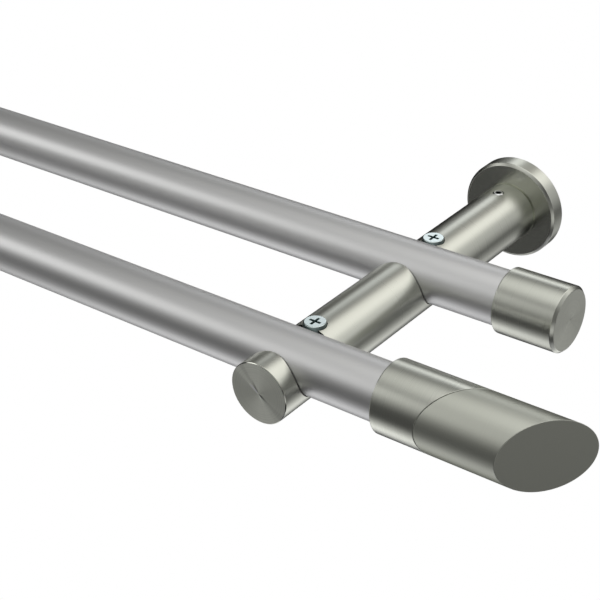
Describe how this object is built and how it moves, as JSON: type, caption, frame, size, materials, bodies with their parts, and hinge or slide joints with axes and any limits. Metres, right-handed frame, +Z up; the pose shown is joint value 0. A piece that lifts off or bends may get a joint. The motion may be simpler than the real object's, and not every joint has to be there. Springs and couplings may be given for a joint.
{
  "type": "double curtain pole",
  "caption": "Two round metal poles, one behind the other, on wall brackets with saddles, with a plain cap on the rear pole and an obliquely cut finial on the front pole.",
  "frame": {"origin": "on the wall plane, midway between the two brackets, at the height of the bracket arms' axes", "axes": "+X along the poles to the right-hand end seen from the room, +Y into the wall, +Z up"},
  "size_m": [1.301, 0.16, 0.039],
  "materials": {
    "pole": "fine satin, smooth",
    "nickel": "brushed along the turning, warm nickel tone",
    "zinc_screw": "bright zinc plating, bluish",
    "set_screw": "plain bright steel",
    "plain_steel": "plain machined steel"
  },
  "bodies": {
    "root": {"front_pole": "pole", "rear_pole": "pole", "left_bracket_arm": "nickel", "left_wall_plate": "plain_steel", "left_rosette": "nickel", "left_arm_set_screw": "set_screw", "left_rear_pole_screw": "zinc_screw", "left_front_pole_screw": "zinc_screw", "left_rear_end_cap": "nickel", "left_end_cap_set_screw": "set_screw", "left_finial_sleeve": "nickel", "left_finial_head": "nickel", "left_finial_joining_screw": "plain_steel", "left_finial_set_screw": "set_screw", "right_bracket_arm": "nickel", "right_wall_plate": "plain_steel", "right_rosette": "nickel", "right_arm_set_screw": "set_screw", "right_rear_pole_screw": "zinc_screw", "right_front_pole_screw": "zinc_screw", "right_rear_end_cap": "nickel", "right_end_cap_set_screw": "set_screw", "right_finial_sleeve": "nickel", "right_finial_head": "nickel", "right_finial_joining_screw": "plain_steel", "right_finial_set_screw": "set_screw"}
  },
  "joints": []
}
